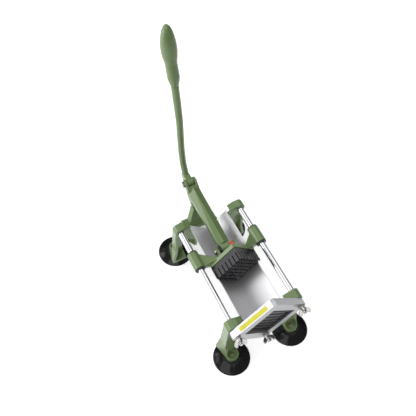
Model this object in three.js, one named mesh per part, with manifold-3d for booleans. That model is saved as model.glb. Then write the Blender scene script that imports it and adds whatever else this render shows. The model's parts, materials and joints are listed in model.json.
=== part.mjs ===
// Lever-operated vegetable dicer: a handle drives a carriage along two guide rods and
// pushes the food through a square blade grid that stands on its corner.
// Millimetres, +Z up, the blade end faces -Y, +X is to the right of that end.
// The assembly is modelled about the guide rods' height and then lifted onto its feet.
import * as THREE from "three";
import { ConvexGeometry } from "three/addons/geometries/ConvexGeometry.js";
import { mergeVertices } from "three/addons/utils/BufferGeometryUtils.js";
import Module from "manifold-3d";

const wasm = await Module();
wasm.setup();

// Whole machine
const TABLE_DROP = 170.6; // guide rod axes above the table
const CENTRE_SHIFT = 54.32; // assembly frame to the middle of the machine's length
const GAP = 0.35; // left between pieces that touch
const MIDDLE = -25.1; // the feet mirror about this station, and both end castings are measured from it
const GRID_DROP = -2.5; // centre of the blade grid, block and trough section

// Guide rods
const ROD_X = 86.8;
const ROD_R = 8;
const STUD_R = 5;
const ROD_REAR = 122;
const SHOULDER = -187.6;
const STUD_TIP = -226;

// Blade frame, block and trough: squares standing on a corner, given by half diagonals
const FRAME_HALF = 103.4;
const FRAME_CORNER = 98.5;
const OPENING_HALF = 62.9;
const FRONT_OPENING_HALF = 68.3;
const BLOCK_HALF = 61.5;
const BAND_HALF = 64.5; // carriage plate's upper edges
const TROUGH_HALF = 63.6;
const PLATE_BACK = [-188.2, -191.8];
const PLATE_FRONT = [-192.1, -205.8];
const BOTTOM_STUD_Z = GRID_DROP - 82;
const CUT_PITCH = 12.7;
const BLADES = 7;
const BLADE = 1;
const SLOT = 2.8;
const BLOCK_FRONT = -53;
const SLOT_FLOOR = -32;
const TROUGH_ENDS = [-187.6, 122];
const TROUGH_TOP = -12;
const SHEET = 1.5;

// Carriage
const PLATE = [-20, -9];
const BOSS = [-10.6, 35.5];
const BOSS_R = 14.5;
const LOWER_PIN = [18, -8];
const LUG = [21.6, 28];

// Handle linkage, as (y, z)
const PIVOT = [181, -115];
const UPPER_PIN = [230, 14];
const PIN_R = 5;
const HUB_R = 19;
const HUB_HALF = 38.4;
const ARM_HALF = 9;
const EAR = [10.6, 16.6];

// Feet
const FOOT_D = 172.2; // from MIDDLE
const FOOT_X = 87;
const CUP_R = 48.3;
const CUP_TOP = 16;

const paint = new THREE.MeshStandardMaterial({ color: 0x6f8a58, roughness: 0.35, metalness: 0.1 });
const grip = new THREE.MeshStandardMaterial({ color: 0x708c5a, roughness: 0.3, metalness: 0 });
const chrome = new THREE.MeshStandardMaterial({ color: 0xdfe2e6, roughness: 0.08, metalness: 1 });
const sheetSteel = new THREE.MeshStandardMaterial({ color: 0xbfc1c4, roughness: 0.3, metalness: 1 });
const castAluminium = new THREE.MeshStandardMaterial({ color: 0xcfd1d6, roughness: 0.4, metalness: 0.9 });
const bladeSteel = new THREE.MeshStandardMaterial({ color: 0x8c8f93, roughness: 0.25, metalness: 1 });
const nickel = new THREE.MeshStandardMaterial({ color: 0xcac6ba, roughness: 0.25, metalness: 1 });
const zinc = new THREE.MeshStandardMaterial({ color: 0xb4b6b8, roughness: 0.4, metalness: 1 });
const brass = new THREE.MeshStandardMaterial({ color: 0xb79a4c, roughness: 0.3, metalness: 1 });
const blackPlastic = new THREE.MeshStandardMaterial({ color: 0x24242a, roughness: 0.35, metalness: 0 });
const blackRubber = new THREE.MeshStandardMaterial({ color: 0x1b1b1d, roughness: 0.3, metalness: 0 });
const redPlastic = new THREE.MeshStandardMaterial({ color: 0xd83a2c, roughness: 0.4, metalness: 0 });
const yellowVinyl = new THREE.MeshStandardMaterial({ color: 0xe6df3a, roughness: 0.5, metalness: 0 });

// ---- solids ----

// A closed geometry as a solid that can be joined and cut.
function solid(geometry) {
  const bare = geometry.index ? geometry.toNonIndexed() : geometry.clone();
  bare.deleteAttribute("normal");
  bare.deleteAttribute("uv");
  const merged = mergeVertices(bare, 1e-4);
  const index = merged.index.array;
  const corners = [];
  for (let i = 0; i < index.length; i += 3) {
    const [a, b, c] = [index[i], index[i + 1], index[i + 2]];
    if (a !== b && b !== c && a !== c) corners.push(a, b, c);
  }
  const vertProperties = new Float32Array(merged.attributes.position.array);
  const build = (list) =>
    new wasm.Manifold(new wasm.Mesh({ numProp: 3, vertProperties, triVerts: new Uint32Array(list) }));
  const made = build(corners);
  return made.volume() > 0 ? made : build(corners.reverse());
}

function join(...parts) {
  return parts.reduce((whole, part) => whole.add(part));
}

function cut(body, ...tools) {
  return tools.reduce((whole, tool) => whole.subtract(tool), body);
}

// Turns geometry made along +Z so that it runs along the named axis.
function alongAxis(geometry, axis) {
  const basis = new THREE.Matrix4();
  const [X, Y, Z] = [new THREE.Vector3(1, 0, 0), new THREE.Vector3(0, 1, 0), new THREE.Vector3(0, 0, 1)];
  if (axis === "x") basis.makeBasis(Y, Z, X);
  if (axis === "y") basis.makeBasis(X, Z, Y.negate());
  return geometry.applyMatrix4(basis);
}

// An outline extruded along an axis: (x, z) along y, (y, z) along x, (x, y) along z.
function prism(axis, outline, from, to) {
  const shape = new THREE.Shape(outline.map(([a, b]) => new THREE.Vector2(a, b)));
  const [low, high] = [Math.min(from, to), Math.max(from, to)];
  const made = new THREE.ExtrudeGeometry(shape, { depth: high - low, bevelEnabled: false });
  made.translate(0, 0, axis === "y" ? -high : low);
  return solid(alongAxis(made, axis));
}

// A turned piece: profile of (radius, station) about an axis through (a, b) in the other two.
function turned(axis, profile, a, b, sides = 20) {
  const made = new THREE.LatheGeometry(profile.map(([r, t]) => new THREE.Vector2(r, t)), sides);
  if (axis === "z") made.rotateX(Math.PI / 2).translate(a, b, 0);
  if (axis === "y") made.translate(a, 0, b);
  if (axis === "x") made.rotateZ(-Math.PI / 2).translate(0, a, b);
  return solid(made);
}

function cylinder(axis, r, from, to, a, b, sides = 20) {
  const [low, high] = [Math.min(from, to), Math.max(from, to)];
  return turned(axis, [[0, low], [r, low], [r, high], [0, high]], a, b, sides);
}

function block(x, y, z) {
  const made = new THREE.BoxGeometry(Math.abs(x[1] - x[0]), Math.abs(y[1] - y[0]), Math.abs(z[1] - z[0]));
  return solid(made.translate((x[0] + x[1]) / 2, (y[0] + y[1]) / 2, (z[0] + z[1]) / 2));
}

// The convex solid round a list of [x, y, z] points.
function hull(points) {
  return solid(new ConvexGeometry(points.map((p) => new THREE.Vector3(...p))));
}

// The four corners of a level rectangle, for hull.
function level(x, y, z) {
  return [[x[0], y[0], z], [x[1], y[0], z], [x[1], y[1], z], [x[0], y[1], z]];
}

// Points of a circle about the vertical through (x, y), for hull.
function ringPoints(x, y, z, r, count = 16) {
  return Array.from({ length: count }, (_, i) => {
    const angle = (2 * Math.PI * i) / count;
    return [x + r * Math.cos(angle), y + r * Math.sin(angle), z];
  });
}

// A square on its corner as an (x, z) outline.
function diamond(half, centre = GRID_DROP) {
  return [[-half, centre], [0, centre - half], [half, centre], [0, centre + half]];
}

function piece(name, body, material) {
  const { vertProperties, triVerts } = body.getMesh();
  const geometry = new THREE.BufferGeometry();
  geometry.setAttribute("position", new THREE.BufferAttribute(vertProperties, 3));
  geometry.setIndex(new THREE.BufferAttribute(triVerts, 1));
  geometry.computeVertexNormals();
  const mesh = new THREE.Mesh(geometry, material);
  mesh.name = name;
  return mesh;
}

const SIDES = [["left", -1], ["right", 1]];
const ENDS = [["front", -1], ["rear", 1]];
const base = new THREE.Group();
const carriage = new THREE.Group();
const link = new THREE.Group();
const handle = new THREE.Group();

// ---- end castings ----

// Stations of the two ends, as distances from MIDDLE: the rod bosses,
// and the legs' outer and end walls at the top and at the knee.
const LEG = {
  front: { boss: [137, 162.6], knee: [134, 160], wallTop: [154, 162.6], wallKnee: [155, 162.6] },
  rear: { boss: [128.5, 150], knee: [130, 152], wallTop: [141, 150], wallKnee: [146, 154] },
};
const CAST_BOSS_R = 15;
const BAND_WIDTH = 12;
const FOOT_SOLE = -TABLE_DROP + CUP_TOP + GAP;
const FOOT_PLATE = FOOT_SOLE + 8;
const FOOT_RIM = -140.4;
const FOOT_RING = 17;
const FOOT_RECESS = 12.8;
const SOLE_X = [71, 113];
const SOLE_HEEL = 131;
const KNEE_Z = -100; // the legs run straight down to here, then splay to the sole

// One leg: an outer wall and an end wall down to a splayed sole with a round foot boss.
function leg(side, end, { boss, knee, wallTop, wallKnee }) {
  const at = (d) => MIDDLE + end * d;
  const x = (a, b) => [side * a, side * b];
  const y = (a, b) => [at(a), at(b)];
  const kneeOuter = level(x(96, 104), y(...knee), KNEE_Z);
  const kneeEnd = level(x(76, 104), y(...wallKnee), KNEE_Z);
  const soleOuter = [
    ...level(x(105, SOLE_X[1]), y(SOLE_HEEL, 139), FOOT_PLATE),
    ...level(x(97, 104), y(170, 176), FOOT_PLATE),
  ];
  const outerWall = join(
    hull([...level(x(93, 101.5), y(boss[0] + 1.5, boss[1]), 0), ...kneeOuter]),
    hull([...kneeOuter, ...soleOuter]),
  );
  const endWall = join(
    hull([...level(x(74, 101.5), y(...wallTop), 0), ...kneeEnd]),
    hull([...kneeEnd, ...level(x(72, 104), y(157, 168), FOOT_PLATE)]),
  );
  const toes = ringPoints(side * FOOT_X, at(FOOT_D), 0, FOOT_RING, 28);
  const heels = SOLE_X.map((px) => [side * px, at(SOLE_HEEL)]);
  const soleRound = [...toes, ...heels];
  const sole = hull([FOOT_SOLE, FOOT_PLATE].flatMap((z) => soleRound.map(([px, py]) => [px, py, z])));
  const footBoss = cylinder("z", FOOT_RING, FOOT_SOLE, FOOT_RIM, side * FOOT_X, at(FOOT_D), 28);
  const recess = cylinder("z", FOOT_RECESS, FOOT_PLATE, FOOT_RIM + 14, side * FOOT_X, at(FOOT_D), 28);
  const screwHole = cylinder("z", 3.4, FOOT_SOLE - 1, FOOT_PLATE + 1, side * FOOT_X, at(FOOT_D), 16);
  return cut(join(outerWall, endWall, sole, footBoss), recess, screwHole);
}

// Rod bosses with their webs, the V band that cradles the trough, and two legs.
function endCasting(end, stations, bandIn) {
  const at = (d) => MIDDLE + end * d;
  const [inner, outer] = stations.boss;
  const cradle = [
    [-94, -8], [-86, 6], [-64, -2.5], [-59, -10.8], [0, GRID_DROP - TROUGH_HALF - 2.7],
    [59, -10.8], [64, -2.5], [86, 6], [94, -8], [86, -24], [9, -101], [-9, -101], [-86, -24],
  ];
  let body = prism("y", cradle, at(bandIn), at(bandIn + BAND_WIDTH));
  for (const [, side] of SIDES) {
    const web = [[87, 14], [75, 14], [56.5, 7], [64.5, -2.5], [68, -12], [87, -12]];
    const webOutline = web.map(([px, pz]) => [side * px, pz]);
    body = join(
      body,
      cylinder("y", CAST_BOSS_R, at(inner), at(outer), side * ROD_X, 0, 24),
      prism("y", webOutline, at(inner + 1.5), at(outer)),
      leg(side, end, stations),
    );
  }
  return body;
}

const rodBore = (side, from, to) => cylinder("y", ROD_R + GAP, from, to, side * ROD_X, 0);
const setScrewHole = (side, y) => cylinder("z", 3.4, -26, 0, side * ROD_X, y, 12);
const frontScrewY = MIDDLE - 144;
const rearScrewY = MIDDLE + 135.5;

// Rear lugs that carry the handle's pivot shaft, and the rest bar between them.
function rearLugs() {
  const [py, pz] = PIVOT;
  const round = Array.from({ length: 13 }, (_, i) => {
    const angle = -Math.PI / 2 + (Math.PI * i) / 12;
    return [py + HUB_R * Math.cos(angle), pz + HUB_R * Math.sin(angle)];
  });
  const outline = [[104, -98], [150, pz - HUB_R - 14], [212, pz - HUB_R - 18], [212, pz - HUB_R - 4]];
  const plate = [...outline, ...round, [150, -84], [104, -52]];
  let body = block([-46, 46], [198, 212], [pz - HUB_R - 18, pz - HUB_R - 9]);
  for (const [, side] of SIDES) body = join(body, prism("x", plate, side * (HUB_HALF + GAP), side * 46));
  return body;
}

const rearBandIn = LEG.rear.boss[0] + 1;
let frontCasting = endCasting(-1, LEG.front, LEG.front.boss[1] - BAND_WIDTH);
let rearCasting = join(endCasting(1, LEG.rear, rearBandIn), rearLugs());
for (const [, side] of SIDES) {
  frontCasting = cut(frontCasting, rodBore(side, SHOULDER - 5, -140), setScrewHole(side, frontScrewY));
  rearCasting = cut(rearCasting, rodBore(side, 100, ROD_REAR + GAP), setScrewHole(side, rearScrewY));
}
frontCasting = cut(frontCasting, cylinder("y", STUD_R + 0.4, SHOULDER - 5, -170, 0, BOTTOM_STUD_Z, 20));
rearCasting = cut(
  rearCasting,
  cylinder("x", 8 + GAP, -60, 60, ...PIVOT),
  cylinder("z", 3.3, PIVOT[1] - HUB_R - 30, PIVOT[1], 0, 205, 16),
);

// ---- trough ----

const troughLow = GRID_DROP - TROUGH_HALF;
const sheetStep = SHEET * Math.SQRT2;
const troughOuter = TROUGH_TOP - troughLow;
const troughSection = [
  [-troughOuter, TROUGH_TOP], [0, troughLow], [troughOuter, TROUGH_TOP],
  [troughOuter + sheetStep, TROUGH_TOP], [0, troughLow - sheetStep], [-troughOuter - sheetStep, TROUGH_TOP],
];
let trough = prism("y", troughSection, ...TROUGH_ENDS);

// A piece made along z at the origin, turned to stand on a trough wall at (x, y).
function onWall(geometry, side, x, y) {
  const wallZ = troughLow + Math.abs(x);
  geometry.rotateY(-side * (Math.PI / 4)).translate(x, y, wallZ);
  return solid(geometry);
}

// A countersunk screw just under the wall's inner face, or the hole for it.
function wallScrewGeometry(grow) {
  const tip = -9.5 - grow;
  const shank = [[0, tip], [2.2 + grow, tip], [2.2 + grow, -1.5 - grow]];
  const head = grow ? [[4.4 + grow, -0.2], [4.4 + grow, 3], [0, 3]] : [[4.4, -0.3], [0, -0.3]];
  const points = [...shank, ...head].map(([r, t]) => new THREE.Vector2(r, t));
  return new THREE.LatheGeometry(points, 12).rotateX(Math.PI / 2);
}

const TROUGH_SCREW_X = 36;
for (const [end, station] of [["front", -181.6], ["rear", MIDDLE + rearBandIn + BAND_WIDTH / 2]]) {
  for (const [hand, side] of SIDES) {
    const x = side * TROUGH_SCREW_X;
    const hole = onWall(wallScrewGeometry(0.3), side, x, station);
    trough = cut(trough, hole);
    if (end === "front") frontCasting = cut(frontCasting, hole);
    if (end === "rear") rearCasting = cut(rearCasting, hole);
    const screw = onWall(wallScrewGeometry(0), side, x, station);
    base.add(piece(`trough_screw_${end}_${hand}`, screw, zinc));
  }
}
base.add(piece("front_casting", frontCasting, paint));
base.add(piece("rear_casting", rearCasting, paint));
base.add(piece("feed_trough", trough, sheetSteel));

// ---- guide rods and their set screws ----

for (const [hand, side] of SIDES) {
  const profile = [
    [0, STUD_TIP], [STUD_R - 1, STUD_TIP], [STUD_R, STUD_TIP + 1.5], [STUD_R, SHOULDER],
    [ROD_R, SHOULDER], [ROD_R, ROD_REAR - 1], [ROD_R - 1, ROD_REAR], [0, ROD_REAR],
  ];
  base.add(piece(`guide_rod_${hand}`, turned("y", profile, side * ROD_X, 0, 24), chrome));
  for (const [end, y] of [["front", frontScrewY], ["rear", rearScrewY]]) {
    const screw = cut(
      cylinder("z", 3, -16.5, -ROD_R - GAP, side * ROD_X, y, 12),
      cylinder("z", 1.6, -17, -13, side * ROD_X, y, 6),
    );
    base.add(piece(`rod_set_screw_${end}_${hand}`, screw, zinc));
  }
}

// ---- blade frame ----

function framePlate([from, to], opening) {
  const c = FRAME_CORNER;
  const n = FRAME_HALF - FRAME_CORNER;
  const outline = [[-c, -n], [-n, -c], [n, -c], [c, -n], [c, n], [n, c], [-n, c], [-c, n]];
  const lifted = outline.map(([x, z]) => [x, z + GRID_DROP]);
  let body = cut(prism("y", lifted, from, to), prism("y", diamond(opening), from + 1, to - 1));
  for (const [x, z] of [[-ROD_X, 0], [ROD_X, 0], [0, BOTTOM_STUD_Z]])
    body = cut(body, cylinder("y", STUD_R + 0.5, from + 1, to - 1, x, z, 20));
  return body;
}

const GRID_RING = 4.5; // width of the square ring round each set of blades

// A blade grid: parallel blades in a thin square ring, turned onto a corner.
function bladeGrid(turnSign, from, to) {
  const side = OPENING_HALF * Math.SQRT2;
  const outer = side + 2 * GRID_RING;
  const [low, high] = [Math.min(from, to), Math.max(from, to)];
  const half = outer / 2;
  let body = cut(
    block([-half, half], [low, high], [-half, half]),
    block([-side / 2, side / 2], [low - 1, high + 1], [-side / 2, side / 2]),
  );
  for (let i = 0; i < BLADES; i++) {
    const offset = (i - (BLADES - 1) / 2) * CUT_PITCH;
    const thickness = [offset - BLADE / 2, offset + BLADE / 2];
    body = join(body, block(thickness, [low, high], [-side / 2 - 1, side / 2 + 1]));
  }
  const made = piece("", body, bladeSteel).geometry;
  return solid(made.rotateY((turnSign * Math.PI) / 4).translate(0, 0, GRID_DROP));
}

// The rear blades are the deep ones; the front set crosses them in front.
const GRIDS = [["rear", 1, -192.3, -199.5], ["front", -1, -199.8, -202.5]];
const POCKET_FLOOR = -202.8;
const pocketHalf = OPENING_HALF + (GRID_RING + 0.3) * Math.SQRT2;
const screwSpots = SIDES.flatMap(([hand, side]) => [
  [`${hand}_upper`, side * 46, GRID_DROP + 46],
  [`${hand}_lower`, side * 46, GRID_DROP - 46],
]);
let backPlate = framePlate(PLATE_BACK, OPENING_HALF);
const gridPocket = prism("y", diamond(pocketHalf), PLATE_BACK[0], POCKET_FLOOR);
let frontPlate = cut(framePlate(PLATE_FRONT, FRONT_OPENING_HALF), gridPocket);
for (const [spot, x, z] of screwSpots) {
  const shank = (grow) => cylinder("y", 2 + grow, -199.5 - grow, -189.5, x, z, 10);
  const head = (grow) => cylinder("y", 3.8 + grow, -190.2 - grow, grow ? -187 : -188.5, x, z, 10);
  backPlate = cut(backPlate, shank(0.35), head(0.35));
  frontPlate = cut(frontPlate, shank(0.35));
  base.add(piece(`frame_screw_${spot}`, join(shank(0), head(0)), zinc));
}
base.add(piece("blade_frame_back_plate", backPlate, castAluminium));
base.add(piece("blade_frame_front_plate", frontPlate, castAluminium));
for (const [place, turnSign, from, to] of GRIDS)
  base.add(piece(`blade_grid_${place}`, bladeGrid(turnSign, from, to), bladeSteel));

const bottomStud = cylinder("y", STUD_R, STUD_TIP, -176, 0, BOTTOM_STUD_Z, 20);
base.add(piece("bottom_stud", bottomStud, zinc));

// The label lies on the front plate's upper left edge face, measured from the top corner.
const LABEL = { from: 22, to: 112, y: [-193.2, -203.6], thick: 0.5 };
const labelBox = new THREE.BoxGeometry(LABEL.to - LABEL.from, LABEL.y[0] - LABEL.y[1], LABEL.thick);
labelBox.translate(-(LABEL.to + LABEL.from) / 2, 0, LABEL.thick / 2 + 0.3);
labelBox.rotateY(-Math.PI / 4);
labelBox.translate(0, (LABEL.y[0] + LABEL.y[1]) / 2, GRID_DROP + FRAME_HALF);
base.add(piece("frame_label", solid(labelBox), yellowVinyl));

// ---- wing nuts ----

const NUT_BACK = -206.1;
const NUT_LENGTH = 12;
const WING_SPAN = 15.5;
const WING_THICK = 6.4;

// A wing nut on the axis at (x, z), its wings turned by the given angle.
function wingNut(x, z, angle) {
  const face = NUT_BACK - NUT_LENGTH;
  const profile = [
    [0, face], [6.6, face], [7, NUT_BACK - 4], [9, NUT_BACK - 2.5], [9, NUT_BACK], [0, NUT_BACK],
  ];
  let body = turned("y", profile, 0, 0, 16);
  for (const [, side] of SIDES) {
    const root = [[4, -NUT_LENGTH + 1], [4, -3]];
    const wing = [[9, -6], [13, -9], [WING_SPAN, -13], [WING_SPAN, -18], [13, -21], [9, -20], [6, -15]];
    const outline = [...root, ...wing].map(([a, b]) => [side * a, NUT_BACK + b]);
    body = join(body, prism("z", outline, -WING_THICK / 2, WING_THICK / 2));
  }
  body = cut(body, cylinder("y", STUD_R + GAP, NUT_BACK + 1, face - 1, 0, 0, 16));
  const made = piece("", body, nickel).geometry.rotateY(angle).translate(x, 0, z);
  return solid(made);
}

const wingNuts = [["left", -ROD_X, 0, 0.05], ["right", ROD_X, 0, -0.05], ["bottom", 0, BOTTOM_STUD_Z, 0]];
for (const [hand, x, z, angle] of wingNuts)
  base.add(piece(`wing_nut_${hand}`, wingNut(x, z, angle), nickel));

// ---- suction feet ----

const CUP_PROFILE = [
  [3.2, 3.4], [3.2, CUP_TOP], [17.6, CUP_TOP], [33, 11.6], [43, 6.6], [CUP_R, 1.8], [47.8, 0], [42, 0],
  [37, 2.6], [3.2, 3.4],
];
for (const [end, sign] of ENDS) {
  for (const [hand, side] of SIDES) {
    const y = MIDDLE + sign * FOOT_D;
    const cup = turned("z", CUP_PROFILE, 0, 0, 24);
    const cupMesh = piece(`suction_cup_${end}_${hand}`, cup, blackRubber);
    cupMesh.position.set(side * FOOT_X, y, -TABLE_DROP);
    base.add(cupMesh);
    const low = -TABLE_DROP + 7;
    const seat = FOOT_PLATE + GAP;
    const profile = [
      [0, low], [2.8, low], [2.8, seat], [4.8, seat], [4.8, seat + 1.4], [3.4, seat + 2.7], [0, seat + 3.1],
    ];
    base.add(piece(`foot_screw_${end}_${hand}`, turned("z", profile, side * FOOT_X, y, 12), brass));
  }
}

// ---- handle pivot ----

const [pivotY, pivotZ] = PIVOT;
base.add(piece("pivot_shaft", cylinder("x", 8, -52, 52, pivotY, pivotZ), zinc));
for (const [hand, side] of SIDES) {
  const ring = [[8.35, 46.4], [12.5, 46.4], [12.5, 50], [8.35, 50], [8.35, 46.4]];
  const profile = ring.map(([r, t]) => [r, side * t]);
  base.add(piece(`pivot_collar_${hand}`, turned("x", profile, pivotY, pivotZ, 24), zinc));
}
const bumperFoot = pivotZ - HUB_R - 16;
const bumperTop = pivotZ - HUB_R + 1;
const bumper = [
  [0, bumperFoot], [3, bumperFoot], [3, bumperTop - 9.6], [7, bumperTop - 9.6], [7, bumperTop - 2],
  [5, bumperTop], [0, bumperTop],
];
base.add(piece("handle_stop_bumper", turned("z", bumper, 0, 205, 20), blackRubber));

// ---- carriage ----

const lowerEdge = BLOCK_HALF - 0.6;
const plateCorner = (BAND_HALF + lowerEdge) / 2;
const plateRise = (BAND_HALF - lowerEdge) / 2;
const plateOutline = [
  [-plateCorner, GRID_DROP + plateRise], [0, GRID_DROP - lowerEdge], [plateCorner, GRID_DROP + plateRise],
  [3, GRID_DROP + BAND_HALF - 3], [-3, GRID_DROP + BAND_HALF - 3],
];
const [pinY, pinZ] = LOWER_PIN;
let carriageBody = prism("y", plateOutline, ...PLATE);
for (const [, side] of SIDES) {
  const web = hull([
    ...level([side * 73, side * 78], [-10, 26], 6),
    ...level([side * 73, side * 78], [-10, 26], -7),
    ...level([side * 39, side * 41], [-14, PLATE[1]], 20),
    ...level([side * 57, side * 59], [-14, PLATE[1]], -8),
  ]);
  const lug = [[PLATE[1] - 2, -26], [PLATE[1] - 2, 8], [10, 5], [pinY, pinZ + 12], [pinY + 9, pinZ + 8]];
  lug.push([pinY + 12, pinZ], [pinY + 9, pinZ - 8], [pinY, pinZ - 12]);
  carriageBody = join(
    carriageBody,
    web,
    cylinder("y", BOSS_R, ...BOSS, side * ROD_X, 0),
    prism("x", lug, side * LUG[0], side * LUG[1]),
  );
}
carriageBody = join(carriageBody, block([-LUG[1], LUG[1]], [PLATE[1] - 2, 2], [-26, 6]));
carriageBody = cut(carriageBody, cylinder("x", PIN_R + GAP, -40, 40, pinY, pinZ, 24));
for (const [, side] of SIDES)
  carriageBody = cut(
    carriageBody,
    cylinder("y", 12, BOSS[0] - 1, BOSS[1] + 1, side * ROD_X, 0),
    cylinder("y", BOSS_R, PLATE[0] - 1, BOSS[0], side * ROD_X, 0),
  );

// Flanged bushings, one pressed into each end of each boss.
const BUSH_BORE = ROD_R + GAP;
const BUSH_R = 12 - GAP;
const BUSH_DEPTH = 18;
const FLANGE_R = 13.6;
const FLANGE = 2.5;
for (const [hand, side] of SIDES) {
  for (const [end, face, into] of [["front", BOSS[0] - GAP, 1], ["rear", BOSS[1] + GAP, -1]]) {
    const inner = face + into * BUSH_DEPTH;
    const lip = face - into * FLANGE;
    const profile = [
      [BUSH_BORE, inner], [BUSH_R, inner], [BUSH_R, face], [FLANGE_R, face], [FLANGE_R, lip],
      [BUSH_BORE, lip], [BUSH_BORE, inner],
    ];
    const bush = turned("y", profile, side * ROD_X, 0);
    carriage.add(piece(`rod_bushing_${end}_${hand}`, bush, blackPlastic));
  }
}

// The pusher block: a square base whose front is cut by crossed slots into square fingers.
function pusherBlock() {
  const half = BLOCK_HALF / Math.SQRT2;
  const back = PLATE[0] - GAP;
  let body = block([-half, half], [back, BLOCK_FRONT], [-half, half]);
  for (let i = 0; i < BLADES; i++) {
    const offset = (i - (BLADES - 1) / 2) * CUT_PITCH;
    const span = [offset - SLOT / 2, offset + SLOT / 2];
    const depth = [SLOT_FLOOR, BLOCK_FRONT - 1];
    body = cut(body, block(span, depth, [-half - 1, half + 1]), block([-half - 1, half + 1], depth, span));
  }
  const made = piece("", body, blackPlastic).geometry;
  return solid(made.rotateY(Math.PI / 4).translate(0, 0, GRID_DROP));
}

const blockSpots = [["left", -40, 0], ["right", 40, 0], ["upper", 0, 42], ["lower", 0, -40]];
let blockBody = pusherBlock();
for (const [spot, x, rise] of blockSpots) {
  const z = GRID_DROP + rise;
  const shank = (grow) => cylinder("y", 2.6 + grow, -28 - grow, PLATE[1] + 1, x, z, 10);
  const head = cylinder("y", 5, PLATE[1] + GAP, PLATE[1] + 3.6, x, z, 12);
  carriageBody = cut(carriageBody, shank(0.35));
  blockBody = cut(blockBody, shank(0.35));
  carriage.add(piece(`block_screw_${spot}`, join(shank(0), head), zinc));
}
carriage.add(piece("carriage_casting", carriageBody, paint));
carriage.add(piece("pusher_block", blockBody, blackPlastic));

// ---- link: modelled along +y from the lower pin, then tilted up to the upper pin ----

const LINK_LENGTH = Math.hypot(UPPER_PIN[0] - pinY, UPPER_PIN[1] - pinZ);
const LINK_TILT = Math.atan2(UPPER_PIN[1] - pinZ, UPPER_PIN[0] - pinY);
const FORK = LINK_LENGTH - 14.8; // front of the slot at its top
const EYE_HALF = 12;
const SHELL = 4; // wall of the bar, which is a roof with two skirts, open below

// The bar's section at a station along it: half width, shoulder, ridge and skirt heights.
function barSection(along, half, shoulder, ridge, skirt) {
  const section = [[-half, skirt], [-half, shoulder], [0, ridge], [half, shoulder], [half, skirt]];
  return section.map(([x, z]) => [x, along, z]);
}
const barNear = 13;
const barFar = LINK_LENGTH - 20;
const bar = hull([...barSection(barNear, 15.4, 6.2, 14, -9), ...barSection(barFar, 18.2, -8, 4.6, -21)]);
const barHollow = hull([
  ...barSection(barNear + 20, 15.7 - SHELL, 4.6 - SHELL, 13 - SHELL, -30),
  ...barSection(barFar - 14, 18 - SHELL, -7 - SHELL, 5.4 - SHELL, -30),
]);
const eyeOutline = [[0, -9.5], [24, -10], [24, 6], [11, 8], [0, 9.5], [-7, 6], [-9.5, 0], [-7, -6.5]];
const earOutline = [
  [barFar - 6, -20], [LINK_LENGTH - 12, -15], [LINK_LENGTH, -12], [LINK_LENGTH + 8.5, -8.5],
  [LINK_LENGTH + 12, 0], [LINK_LENGTH + 8.5, 8.5], [LINK_LENGTH, 12], [LINK_LENGTH - 9, 9], [barFar - 6, 0],
];
const slotOutline = [
  [FORK, 30], [FORK, 2], [FORK - 7, -30], [LINK_LENGTH + 20, -30], [LINK_LENGTH + 20, 30],
];
const linkBody = cut(
  join(
    cut(bar, barHollow),
    prism("x", eyeOutline, -EYE_HALF, EYE_HALF),
    prism("x", earOutline, -EAR[1], EAR[1]),
  ),
  prism("x", slotOutline, -EAR[0], EAR[0]),
  cylinder("x", PIN_R + GAP, -30, 30, 0, 0, 24),
  cylinder("x", PIN_R + GAP, -30, 30, LINK_LENGTH, 0, 24),
);
link.add(piece("link_bar", linkBody, paint));

// The upper pin is a bolt: its head and shank end sit in the left ear, its riveted end
// in the right ear, and its middle turns with the lever's boss.
const boltHead = join(
  cylinder("x", PIN_R, -EAR[1] - 2, -EAR[0], LINK_LENGTH, 0, 24),
  cylinder("x", 8, -EAR[1] - 6, -EAR[1] - GAP, LINK_LENGTH, 0, 6),
);
const rivetProfile = [
  [0, EAR[0]], [PIN_R, EAR[0]], [PIN_R, EAR[1] + GAP], [6.2, EAR[1] + GAP], [5, EAR[1] + 2.2],
  [0, EAR[1] + 2.8],
];
const boltEnd = turned("x", rivetProfile, LINK_LENGTH, 0, 24);
link.add(piece("upper_pin_head", boltHead, nickel));
link.add(piece("upper_pin_end", boltEnd, nickel));
link.position.set(0, pinY, pinZ);
link.rotation.x = LINK_TILT;

// ---- lower pin and its spacers ride with the carriage ----

const SPACER_R = { left: 9, right: 11 };
const lowerPinProfile = [[0, -33], [7, -33], [7, -28.4], [PIN_R, -28.4], [PIN_R, 32], [0, 32]];
const lowerPin = turned("x", lowerPinProfile, pinY, pinZ, 24);
carriage.add(piece("link_lower_pin", lowerPin, nickel));
for (const [hand, side] of SIDES) {
  const r = SPACER_R[hand];
  const sleeve = [[5.35, EYE_HALF + GAP], [r, EYE_HALF + GAP], [r, LUG[0] - GAP], [5.35, LUG[0] - GAP]];
  const profile = [...sleeve, sleeve[0]].map(([radius, t]) => [radius, side * t]);
  const material = hand === "right" ? redPlastic : blackPlastic;
  carriage.add(piece(`pin_spacer_${hand}`, turned("x", profile, pinY, pinZ, 24), material));
}

// ---- handle ----

// Lever centreline in the plane x = 0, from the arm to the tip of the grip, as (y, z).
const LEVER_LINE = [
  [247, -4], [262, 20], [273, 52], [280.5, 92], [284, 140], [286, 190],
  [293, 235], [303, 280], [313, 325], [326, 366], [335.5, 407], [342.5, 452],
];
const leverCurve = new THREE.CatmullRomCurve3(LEVER_LINE.map(([y, z]) => new THREE.Vector3(0, y, z)));
const LEVER_LENGTH = leverCurve.getLength();

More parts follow.
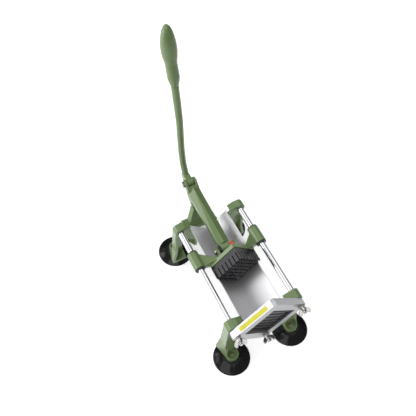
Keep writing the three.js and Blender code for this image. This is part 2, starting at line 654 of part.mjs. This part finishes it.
// A lathe profile of (radius, distance along the lever) bent to follow the lever's centreline.
function alongLever(profile, sides) {
  const made = new THREE.LatheGeometry(profile.map(([r, t]) => new THREE.Vector2(r, t)), sides);
  const place = made.attributes.position;
  const across = new THREE.Vector3();
  for (let i = 0; i < place.count; i++) {
    const u = THREE.MathUtils.clamp(place.getY(i) / LEVER_LENGTH, 0, 1);
    const centre = leverCurve.getPointAt(u);
    const tangent = leverCurve.getTangentAt(u);
    across.set(0, tangent.z, -tangent.y);
    const out = place.getZ(i);
    place.setXYZ(i, place.getX(i), centre.y + across.y * out, centre.z + across.z * out);
  }
  return solid(made);
}

const GRIP_START = LEVER_LENGTH - 152;
const LEVER_END = GRIP_START + 50;
const TANG_R = 7.2;
const tang = [[TANG_R, GRIP_START], [TANG_R, GRIP_START + 25], [TANG_R, LEVER_END], [0, LEVER_END]];
const shank = [[0, 0], [9, 0], [9, 60], [9.1, 110], [9.1, 160], [9.2, 210], [9.5, 260]];
const lever = alongLever([...shank, [9.8, GRIP_START - 1], [TANG_R, GRIP_START - 1], ...tang], 16);
const boreR = TANG_R + 0.3;
const boreEnds = [GRIP_START - 4, GRIP_START + 25, LEVER_END + 1];
const bore = alongLever([[0, boreEnds[0]], ...boreEnds.map((t) => [boreR, t]), [0, boreEnds[2]]], 16);
const gripRadii = [
  [0, 0.4], [10, 0.4], [11, 4], [13.6, 14], [15, 22], [14.8, 38], [14.6, 56], [15.6, 64], [17.7, 74],
  [19, 86], [19.2, 98], [18.3, 110], [16, 124], [12.4, 137], [8.4, 145.5], [4, 150.3], [0, 151.9],
].map(([r, t]) => [r, GRIP_START + t]);
const gripBody = cut(alongLever(gripRadii, 20), bore);
handle.add(piece("handle_grip", gripBody, grip));

const [upY, upZ] = UPPER_PIN;
const LEVER_BOSS_R = 11.5;
const bossRound = Array.from({ length: 8 }, (_, i) => {
  const angle = Math.PI * (1.12 - (i / 7) * 0.55);
  return [upY + LEVER_BOSS_R * Math.cos(angle), upZ + LEVER_BOSS_R * Math.sin(angle)];
});
const armOutline = [
  [174, -98], [199, -50], [215, -26], [220, -4], ...bossRound, [250, 22], [268, 16], [257, -4], [241, -26],
  [218, -53], [200, -69], [189, -86], [189, -98],
];
const hub = cylinder("x", HUB_R, -HUB_HALF, HUB_HALF, pivotY, pivotZ, 32);
const flare = hull([
  ...level([-ARM_HALF, ARM_HALF], [188, 208], -62),
  ...level([-30, 30], [pivotY - 10, pivotY + 10], pivotZ + 12),
]);
const heelFace = bumperTop + GAP;
const heel = prism("x", [[186, -108], [212, -118], [212, heelFace], [190, heelFace]], -12, 12);
const leverBody = cut(
  join(lever, prism("x", armOutline, -ARM_HALF, ARM_HALF), flare, hub, heel),
  cylinder("x", 8 + GAP, -50, 50, pivotY, pivotZ),
  cylinder("x", PIN_R + GAP, -20, 20, upY, upZ, 24),
);
handle.add(piece("handle_lever", leverBody, paint));
const pinCore = cylinder("x", PIN_R, -ARM_HALF - 0.4, ARM_HALF + 0.4, upY, upZ, 24);
handle.add(piece("upper_pin_core", pinCore, nickel));

// ---- the machine on its feet ----

const dicer = new THREE.Group();
dicer.add(base, carriage, link, handle);
dicer.position.set(0, -CENTRE_SHIFT, TABLE_DROP);
const group = new THREE.Group();
group.add(dicer);

export default group;
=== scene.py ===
"""Looks for the lever-operated vegetable dicer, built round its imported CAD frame.

Blender 4.5, metres, the row's own frame: +Z up, the blade end faces -Y.
"""
import json
import math

import bmesh
import bpy
import numpy as np
from mathutils import Matrix, Vector


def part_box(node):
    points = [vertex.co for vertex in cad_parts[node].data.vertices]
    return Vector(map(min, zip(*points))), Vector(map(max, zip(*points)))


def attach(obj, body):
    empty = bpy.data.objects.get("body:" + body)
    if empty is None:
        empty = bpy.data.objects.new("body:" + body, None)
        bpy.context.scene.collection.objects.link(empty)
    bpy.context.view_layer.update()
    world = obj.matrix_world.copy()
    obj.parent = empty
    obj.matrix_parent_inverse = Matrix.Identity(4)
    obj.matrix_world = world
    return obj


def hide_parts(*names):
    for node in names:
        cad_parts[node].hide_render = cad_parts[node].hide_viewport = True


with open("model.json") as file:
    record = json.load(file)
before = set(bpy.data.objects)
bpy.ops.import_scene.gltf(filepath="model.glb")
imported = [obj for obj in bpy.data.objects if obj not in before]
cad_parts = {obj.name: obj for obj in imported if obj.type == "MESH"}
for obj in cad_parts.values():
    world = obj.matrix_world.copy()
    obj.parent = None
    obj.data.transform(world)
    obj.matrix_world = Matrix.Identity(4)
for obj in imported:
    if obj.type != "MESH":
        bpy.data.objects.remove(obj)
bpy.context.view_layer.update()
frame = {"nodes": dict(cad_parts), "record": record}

HANDS = ("left", "right")
ENDS = ("front", "rear")

# ---- camera and light ----

CAMERA_PLACE = Vector((-0.36365, -0.60021, 1.38483))
CAMERA_AZIMUTH = math.radians(-28.57)
CAMERA_ELEVATION = math.radians(57.16)
CAMERA_ROLL = math.radians(2.3)
CAMERA_LENS = 46.95

# The studio's brightness from straight down (0) through the horizon (0.5) to overhead (1).
WORLD_RISE = ((0.0, 0.4), (0.49, 0.1), (0.66, 0.1), (0.74, 0.8), (0.82, 1.0), (1.0, 1.0))
WORLD_STRENGTH = 0.5
# Each light's name, place, aim, size in metres and power in watts.
LIGHTS = (
    ("left", (-2.0, 0.9, 0.9), (0, 0, 0.15), (2.2, 1.4), 42),
    ("key", (-1.2, -0.9, 2.4), (0, 0, 0.1), (1.8, 1.8), 24),
    ("top", (0.4, 0.6, 2.6), (0, 0, 0.1), (2.6, 2.6), 24),
)
FLOOR_GLOW = 0.32  # the table is a lit white sheet
FLOOR_HALF = 6.0


def make_camera():
    az, el = CAMERA_AZIMUTH, CAMERA_ELEVATION
    back = Vector((math.sin(az) * math.cos(el), -math.cos(az) * math.cos(el), math.sin(el)))
    right = (-back).cross(Vector((0, 0, 1))).normalized()
    up = right.cross(-back)
    cos, sin = math.cos(CAMERA_ROLL), math.sin(CAMERA_ROLL)
    columns = (cos * right + sin * up, cos * up - sin * right, back)
    data = bpy.data.cameras.new("camera")
    data.lens = CAMERA_LENS
    data.clip_end = 20
    camera = bpy.data.objects.new("camera", data)
    bpy.context.scene.collection.objects.link(camera)
    turn = Matrix([[c[i] for c in columns] for i in range(3)]).to_4x4()
    camera.matrix_world = Matrix.Translation(CAMERA_PLACE) @ turn
    bpy.context.scene.camera = camera


def area_light(name, place, target, size, power):
    data = bpy.data.lights.new(name, "AREA")
    data.shape = "RECTANGLE"
    data.size, data.size_y = size
    data.energy = power
    light = bpy.data.objects.new(name, data)
    bpy.context.scene.collection.objects.link(light)
    light.location = place
    light.rotation_euler = (Vector(target) - Vector(place)).to_track_quat("-Z", "Y").to_euler()


def make_world():
    world = bpy.data.worlds.new("studio")
    bpy.context.scene.world = world
    world.use_nodes = True
    tree = world.node_tree
    tree.nodes.clear()
    coords = tree.nodes.new("ShaderNodeTexCoord")
    split = tree.nodes.new("ShaderNodeSeparateXYZ")
    height = tree.nodes.new("ShaderNodeMapRange")
    height.inputs["From Min"].default_value = -1
    background = tree.nodes.new("ShaderNodeBackground")
    background.inputs["Strength"].default_value = WORLD_STRENGTH
    out = tree.nodes.new("ShaderNodeOutputWorld")
    tree.links.new(coords.outputs["Generated"], split.inputs["Vector"])
    tree.links.new(split.outputs["Z"], height.inputs["Value"])
    glow = ramp(tree, height.outputs["Result"], [(position, (value,) * 3) for position, value in WORLD_RISE])
    tree.links.new(glow, background.inputs["Color"])
    tree.links.new(background.outputs["Background"], out.inputs["Surface"])


# ---- materials ----

NOISE_LOW = 0.3  # noise seldom leaves this range, so tones and gloss are spread over it
NOISE_HIGH = 0.7
ALONG_Y = (1, 0.03, 1)  # grain drawn out along the rods and the trough


def shader_tree(name):
    material = bpy.data.materials.new(name)
    material.use_nodes = True
    tree = material.node_tree
    return material, tree, tree.nodes["Principled BSDF"]


def noise(tree, scale, detail=4.0, stretch=(1, 1, 1), rough=0.5):
    """A noise texture in the piece's own coordinates; scale is in features per metre."""
    coords = tree.nodes.new("ShaderNodeTexCoord")
    mapping = tree.nodes.new("ShaderNodeMapping")
    mapping.inputs["Scale"].default_value = stretch
    texture = tree.nodes.new("ShaderNodeTexNoise")
    texture.inputs["Scale"].default_value = scale
    texture.inputs["Detail"].default_value = detail
    texture.inputs["Roughness"].default_value = rough
    tree.links.new(coords.outputs["Object"], mapping.inputs["Vector"])
    tree.links.new(mapping.outputs["Vector"], texture.inputs["Vector"])
    return texture.outputs["Fac"]


def ramp(tree, value, stops):
    node = tree.nodes.new("ShaderNodeValToRGB")
    elements = node.color_ramp.elements
    while len(elements) < len(stops):
        elements.new(0.5)
    for element, (position, colour) in zip(elements, stops):
        element.position = position
        element.color = (*colour, 1)
    tree.links.new(value, node.inputs["Fac"])
    return node.outputs["Color"]


def tone(tree, value, dark, light):
    """A colour that runs from dark to light with the noise."""
    return ramp(tree, value, [(NOISE_LOW, dark), (NOISE_HIGH, light)])


def spread(tree, value, low, high):
    """A number that runs from low to high with the noise."""
    node = tree.nodes.new("ShaderNodeMapRange")
    node.inputs["From Min"].default_value = NOISE_LOW
    node.inputs["From Max"].default_value = NOISE_HIGH
    node.inputs["To Min"].default_value = low
    node.inputs["To Max"].default_value = high
    tree.links.new(value, node.inputs["Value"])
    return node.outputs["Result"]


def bump(tree, shader, layers):
    """Layers of (height value, depth in metres), added one on another."""
    last = None
    for value, depth in layers:
        node = tree.nodes.new("ShaderNodeBump")
        node.inputs["Distance"].default_value = depth
        node.inputs["Strength"].default_value = 1.0
        tree.links.new(value, node.inputs["Height"])
        if last is not None:
            tree.links.new(last, node.inputs["Normal"])
        last = node.outputs["Normal"]
    tree.links.new(last, shader.inputs["Normal"])


def enamel(name, dark, light):
    """Thick glossy enamel: the colour hardly drifts, with soft cast waves and fine orange peel."""
    material, tree, shader = shader_tree(name)
    tree.links.new(tone(tree, noise(tree, 6, 2), dark, light), shader.inputs["Base Color"])
    tree.links.new(spread(tree, noise(tree, 40, 3), 0.26, 0.34), shader.inputs["Roughness"])
    shader.inputs["Specular IOR Level"].default_value = 0.4
    shader.inputs["Coat Weight"].default_value = 0.25
    shader.inputs["Coat Roughness"].default_value = 0.08
    bump(tree, shader, [(noise(tree, 45, 2), 0.0001), (noise(tree, 800, 2), 0.000004)])
    return material


def plastic(name, dark, light, roughness, grain=900, depth=0.00001, gloss=0.5):
    """Moulded plastic or rubber: a faint drift of tone and gloss, and a fine skin."""
    material, tree, shader = shader_tree(name)
    shader.inputs["Specular IOR Level"].default_value = gloss
    tree.links.new(tone(tree, noise(tree, 40, 5), dark, light), shader.inputs["Base Color"])
    tree.links.new(spread(tree, noise(tree, 150, 4), *roughness), shader.inputs["Roughness"])
    bump(tree, shader, [(noise(tree, grain, 3), depth)])
    return material


def metal(name, dark, light, roughness, grain=400, depth=0.00001, stretch=(1, 1, 1)):
    """Metal whose tone, roughness and fine relief follow one stretched grain."""
    material, tree, shader = shader_tree(name)
    lines = noise(tree, grain, 6, stretch, 0.6)
    tree.links.new(tone(tree, lines, dark, light), shader.inputs["Base Color"])
    tree.links.new(spread(tree, lines, *roughness), shader.inputs["Roughness"])
    shader.inputs["Metallic"].default_value = 1.0
    bump(tree, shader, [(lines, depth)])
    return material


def brush(material, across, strength):
    """Spreads the metal's gloss across its brushing; across is a direction in the machine's frame."""
    tree = material.node_tree
    shader = tree.nodes["Principled BSDF"]
    direction = tree.nodes.new("ShaderNodeCombineXYZ")
    for i in range(3):
        direction.inputs[i].default_value = across[i]
    tree.links.new(direction.outputs["Vector"], shader.inputs["Tangent"])
    shader.inputs["Anisotropic"].default_value = strength
    return material


def make_enamels():
    return {
        "green_enamel": enamel("green_enamel", (0.110, 0.165, 0.061), (0.120, 0.179, 0.069)),
        "green_grip": enamel("green_grip", (0.105, 0.158, 0.059), (0.115, 0.171, 0.067)),
    }


def make_metals():
    sheet = metal(
        "stainless_sheet", (0.46, 0.46, 0.47), (0.60, 0.60, 0.61), (0.36, 0.44), 1400, 0.000003, ALONG_Y
    )
    return {
        "stainless_sheet": brush(sheet, (1, 0, 0), 0.8),
        "chrome_rod": metal(
            "chrome_rod", (0.56, 0.57, 0.59), (0.66, 0.67, 0.69), (0.04, 0.09), 900, 0.000002, ALONG_Y
        ),
        "frame_aluminium": metal(
            "frame_aluminium", (0.36, 0.365, 0.38), (0.44, 0.445, 0.46), (0.3, 0.42), grain=500
        ),
        "blade_steel": metal(
            "blade_steel", (0.11, 0.11, 0.115), (0.17, 0.17, 0.175), (0.35, 0.5), 900, stretch=(1, 0.1, 1)
        ),
        "nickel": metal(
            "nickel", (0.36, 0.35, 0.33), (0.52, 0.51, 0.49), (0.12, 0.22), grain=250, depth=0.00002
        ),
        "zinc_steel": metal("zinc_steel", (0.32, 0.33, 0.34), (0.46, 0.47, 0.48), (0.25, 0.4), grain=300),
        "brass": metal("brass", (0.24, 0.21, 0.11), (0.36, 0.32, 0.18), (0.25, 0.4), grain=350),
    }


def make_plastics():
    return {
        "black_block": plastic(
            "black_block", (0.006, 0.006, 0.008), (0.011, 0.011, 0.014), (0.22, 0.32), gloss=0.25
        ),
        "black_bushing": plastic("black_bushing", (0.008, 0.008, 0.009), (0.018, 0.018, 0.02), (0.4, 0.55)),
        "black_rubber": plastic(
            "black_rubber", (0.003, 0.003, 0.004), (0.006, 0.006, 0.007), (0.14, 0.22), 500, 0.000006, 0.2
        ),
        "red_plastic": plastic("red_plastic", (0.60, 0.035, 0.02), (0.72, 0.06, 0.035), (0.3, 0.4)),
        "yellow_label": plastic(
            "yellow_label", (0.48, 0.45, 0.03), (0.56, 0.53, 0.05), (0.4, 0.55), grain=300, gloss=0.2
        ),
    }


# ---- mesh work ----

RELAX_PULL = 0.5
RELAX_PUSH = -0.53
WELD = 0.00001  # corners closer than this are one
FLAT_ANGLE = math.radians(0.5)  # faces that meet at less than this are one
EDGE_ANGLE = math.radians(32)  # edges sharper than this get broken
EDGE_STEPS = 2
TURNED_SHARP = math.radians(35)  # edges of a turned piece sharper than this stay hard


def new_object(name, mesh):
    piece = bpy.data.objects.new(name, mesh)
    bpy.context.scene.collection.objects.link(piece)
    return piece


def shade_smooth(mesh):
    mesh.polygons.foreach_set("use_smooth", [True] * len(mesh.polygons))


def applied(piece):
    """Turns the piece's modifiers into its mesh."""
    evaluated = piece.evaluated_get(bpy.context.evaluated_depsgraph_get())
    mesh = bpy.data.meshes.new_from_object(evaluated)
    piece.modifiers.clear()
    piece.data = mesh
    return mesh


def welded_mesh(node, name):
    """The CAD node's mesh with its shared corners joined and flat faces merged."""
    mesh = frame["nodes"][node].data.copy()
    mesh.name = name
    bm = bmesh.new()
    bm.from_mesh(mesh)
    bmesh.ops.remove_doubles(bm, verts=bm.verts, dist=WELD)
    bmesh.ops.dissolve_limit(bm, angle_limit=FLAT_ANGLE, verts=bm.verts, edges=bm.edges)
    for face in bm.faces:
        face.smooth = False
    bm.to_mesh(mesh)
    bm.free()
    mesh.materials.clear()
    return mesh


BODIES = frame["record"]["behaviour"]["bodies"]
BODY_OF = {node: body for body, nodes in BODIES.items() for node in nodes}
SLOT_OF = {part["node"]: part["material_slot"] for part in frame["record"]["subparts"]}


def stand_for(piece, node):
    """The piece takes the node's place, body, slot and material."""
    piece.data.materials.clear()
    piece.data.materials.append(MATERIALS[SLOT_OF[node]])
    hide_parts(node)
    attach(piece, BODY_OF[node])
    return piece


def relax(mesh, rounds):
    """Rounds edges and corners: points are pulled to their neighbours, then pushed back to keep the size."""
    count = len(mesh.vertices)
    place = np.empty(count * 3)
    mesh.vertices.foreach_get("co", place)
    place = place.reshape(-1, 3)
    ends = np.empty(len(mesh.edges) * 2, dtype=np.int64)
    mesh.edges.foreach_get("vertices", ends)
    near = np.concatenate([ends[0::2], ends[1::2]])
    far = np.concatenate([ends[1::2], ends[0::2]])
    share = 1 / np.maximum(np.bincount(near, minlength=count), 1)
    for pull in (RELAX_PULL, RELAX_PUSH) * rounds:
        mean = np.stack([np.bincount(near, place[far, i], count) for i in range(3)], axis=1) * share[:, None]
        place += pull * (mean - place)
    mesh.vertices.foreach_set("co", place.ravel())
    mesh.update()


def cast_piece(node, voxel, rounds):
    """A casting: the node's shape skinned with small voxels, its edges and inner corners rounded."""
    piece = new_object(node + "_cast", welded_mesh(node, node + "_cast"))
    skin = piece.modifiers.new("skin", "REMESH")
    skin.mode = "VOXEL"
    skin.voxel_size = voxel * 1
    applied(piece)
    relax(piece.data, rounds)
    shade_smooth(piece.data)
    return stand_for(piece, node)


def break_edges(piece, width):
    edge = piece.modifiers.new("edge", "BEVEL")
    edge.width = width
    edge.segments = EDGE_STEPS
    edge.limit_method = "ANGLE"
    edge.angle_limit = EDGE_ANGLE


def machined_piece(node, width):
    """A machined or moulded piece: the node's shape with its edges broken and its faces shaded flat."""
    piece = new_object(node + "_made", welded_mesh(node, node + "_made"))
    shade_smooth(piece.data)
    break_edges(piece, width)
    flat = piece.modifiers.new("flat", "WEIGHTED_NORMAL")
    flat.weight = 100  # the large faces alone set the shading
    applied(piece)
    return stand_for(piece, node)


def centre_of(node):
    low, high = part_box(node)
    return (low + high) / 2


def turned_piece(node, profile, axis, sides):
    """A turned piece: (radius, station) profile about the node's middle, along axis 0, 1 or 2 (x, y or z)."""
    centre = centre_of(node)
    bm = bmesh.new()
    rings = []
    others = [i for i in range(3) if i != axis]
    for radius, station in profile:
        ring = []
        for i in range(1 if radius == 0 else sides):
            angle = 2 * math.pi * i / sides
            point = centre.copy()
            point[axis] = station
            point[others[0]] += radius * math.cos(angle)
            point[others[1]] += radius * math.sin(angle)
            ring.append(bm.verts.new(point))
        rings.append(ring)
    for low, high in zip(rings, rings[1:]):
        for i in range(sides):
            j = (i + 1) % sides
            corners = [low[i % len(low)], low[j % len(low)], high[j % len(high)], high[i % len(high)]]
            unique = list(dict.fromkeys(corners))
            if len(unique) > 2:
                bm.faces.new(unique)
    bmesh.ops.recalc_face_normals(bm, faces=bm.faces)
    mesh = bpy.data.meshes.new(node + "_turned")
    bm.to_mesh(mesh)
    bm.free()
    shade_smooth(mesh)
    mesh.set_sharp_from_angle(angle=TURNED_SHARP)
    return stand_for(new_object(node + "_turned", mesh), node)


# ---- pieces ----

AXIS_Y = 1
AXIS_Z = 2
CUP_SIDES = 128
CUP_HOLE_R = 0.0034
CUP_TOP_R = 0.0176
CUP_DOME_END_R = 0.0195
CUP_RIM = 0.0018  # height of the widest ring
CUP_BRIM = 0.0034  # height of the ring where the dome begins
CUP_BRIM_IN = 0.002
CUP_UNDER = ((CUP_HOLE_R, 0.0034), (0.037, 0.0026), (0.042, 0.0))  # from the screw hole out to the lip
DOME_STEPS = 19
DOME_FULLNESS = 1.15
NECK_RISE = 0.0014  # from the dome's end to the cup's top
FLUTES = 8
FLUTE_DEPTH = 0.0006


def flute(mesh, centre, inner, outer):
    """Shallow radial grooves pressed into a cup's dome between two radii."""
    for vertex in mesh.vertices:
        x, y = vertex.co.x - centre.x, vertex.co.y - centre.y
        t = (math.hypot(x, y) - inner) / (outer - inner)
        if 0 < t < 1 and vertex.co.z > CUP_BRIM - 0.0002:
            wave = 0.5 - 0.5 * math.cos(FLUTES * math.atan2(y, x))
            vertex.co.z -= FLUTE_DEPTH * math.sin(math.pi * t) * wave ** 2


def suction_cup(node):
    """A rubber cup with a full dome, pressed with shallow flutes."""
    low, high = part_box(node)
    radius = (high.x - low.x) / 2
    top = high.z
    brim = radius - CUP_BRIM_IN
    dome = [(radius - 0.0002, CUP_RIM), (brim, CUP_BRIM)]
    for i in range(1, DOME_STEPS):
        t = i / DOME_STEPS
        rise = (top - CUP_BRIM - NECK_RISE) * math.sin(t * math.pi / 2) ** DOME_FULLNESS
        dome.append((brim - (radius - CUP_DOME_END_R) * t, CUP_BRIM + rise))
    neck = [(0.0188, top - 0.0008), (CUP_TOP_R, top), (CUP_HOLE_R, top)]
    profile = [*CUP_UNDER, (radius - 0.0005, 0.0), *dome, *neck, CUP_UNDER[0]]
    cup = turned_piece(node, profile, AXIS_Z, CUP_SIDES)
    flute(cup.data, centre_of(node), CUP_DOME_END_R + 0.001, brim - 0.001)


ROD_SIDES = 72
STUD_R = 0.00495
SHOULDER_GAP = 0.0006  # from the blade frame's back to the rod's shoulder
ROD_EDGE = 0.0006
THREAD_PITCH = 0.0015
THREAD_DEPTH = 0.0007
THREAD_RUNOUT = 0.003
TIP_CHAMFER = 0.001


def guide_rod(node):
    """A chromed rod with a rounded shoulder and a threaded stud in front of it."""
    low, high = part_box(node)
    radius = (high.x - low.x) / 2
    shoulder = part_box("blade_frame_back_plate")[1].y + SHOULDER_GAP
    root = STUD_R - THREAD_DEPTH
    profile = [(0, low.y), (STUD_R - TIP_CHAMFER, low.y)]
    for i in range(int((shoulder - low.y - THREAD_RUNOUT) / THREAD_PITCH)):
        start = low.y + TIP_CHAMFER + i * THREAD_PITCH
        profile += [(root, start), (STUD_R, start + THREAD_PITCH / 2)]
    profile += [(root, shoulder), (radius - ROD_EDGE, shoulder), (radius, shoulder + ROD_EDGE)]
    profile += [(radius, high.y - TIP_CHAMFER), (radius - TIP_CHAMFER, high.y), (0, high.y)]
    turned_piece(node, profile, AXIS_Y, ROD_SIDES)


SMALL_EDGE = 0.0003


def carry_over(node):
    """A small CAD piece that stays as it is, with its edges broken and its own material."""
    piece = frame["nodes"][node]
    weld = piece.modifiers.new("weld", "WELD")
    weld.merge_threshold = WELD
    break_edges(piece, SMALL_EDGE)
    piece.data.materials.clear()
    piece.data.materials.append(MATERIALS[SLOT_OF[node]])


# Each casting's voxel size in metres, and how many rounds it is relaxed.
CAST = {
    "front_casting": (0.0012, 6),
    "rear_casting": (0.0012, 6),
    "carriage_casting": (0.0011, 6),
    "link_bar": (0.0009, 5),
    "handle_lever": (0.0013, 24),
    "handle_grip": (0.0013, 80),
    "wing_nut_left": (0.0005, 10),
    "wing_nut_right": (0.0005, 10),
    "wing_nut_bottom": (0.0005, 10),
}
# How wide each machined or moulded piece's edges are broken, in metres.
MACHINED = {
    "blade_frame_back_plate": 0.0006,
    "blade_frame_front_plate": 0.0018,
    "blade_grid_rear": 0.0001,
    "blade_grid_front": 0.0001,
    "pusher_block": 0.0004,
    "feed_trough": 0.0008,
}


def make_pieces():
    for node, (voxel, rounds) in CAST.items():
        cast_piece(node, voxel, rounds)
    for node, width in MACHINED.items():
        machined_piece(node, width)
    cups = [f"suction_cup_{end}_{hand}" for end in ENDS for hand in HANDS]
    for node in cups:
        suction_cup(node)
    rods = [f"guide_rod_{hand}" for hand in HANDS]
    for node in rods:
        guide_rod(node)
    done = {*CAST, *MACHINED, *cups, *rods}
    for node in frame["nodes"]:
        if node not in done:
            carry_over(node)


def make_floor():
    mesh = bpy.data.meshes.new("floor")
    corners = [(x * FLOOR_HALF, y * FLOOR_HALF, 0) for x, y in ((-1, -1), (1, -1), (1, 1), (-1, 1))]
    mesh.from_pydata(corners, [], [(0, 1, 2, 3)])
    floor = new_object("floor", mesh)
    material, tree, shader = shader_tree("floor")
    white = tone(tree, noise(tree, 3, 2), (0.9, 0.9, 0.9), (0.94, 0.94, 0.94))
    tree.links.new(white, shader.inputs["Base Color"])
    shader.inputs["Roughness"].default_value = 0.6
    shader.inputs["Emission Color"].default_value = (1, 1, 1, 1)
    shader.inputs["Emission Strength"].default_value = FLOOR_GLOW
    mesh.materials.append(material)


MATERIALS = {**make_enamels(), **make_metals(), **make_plastics()}
make_camera()
make_world()
for light in LIGHTS:
    area_light(*light)
bpy.context.scene.view_settings.view_transform = "Standard"
make_pieces()
make_floor()
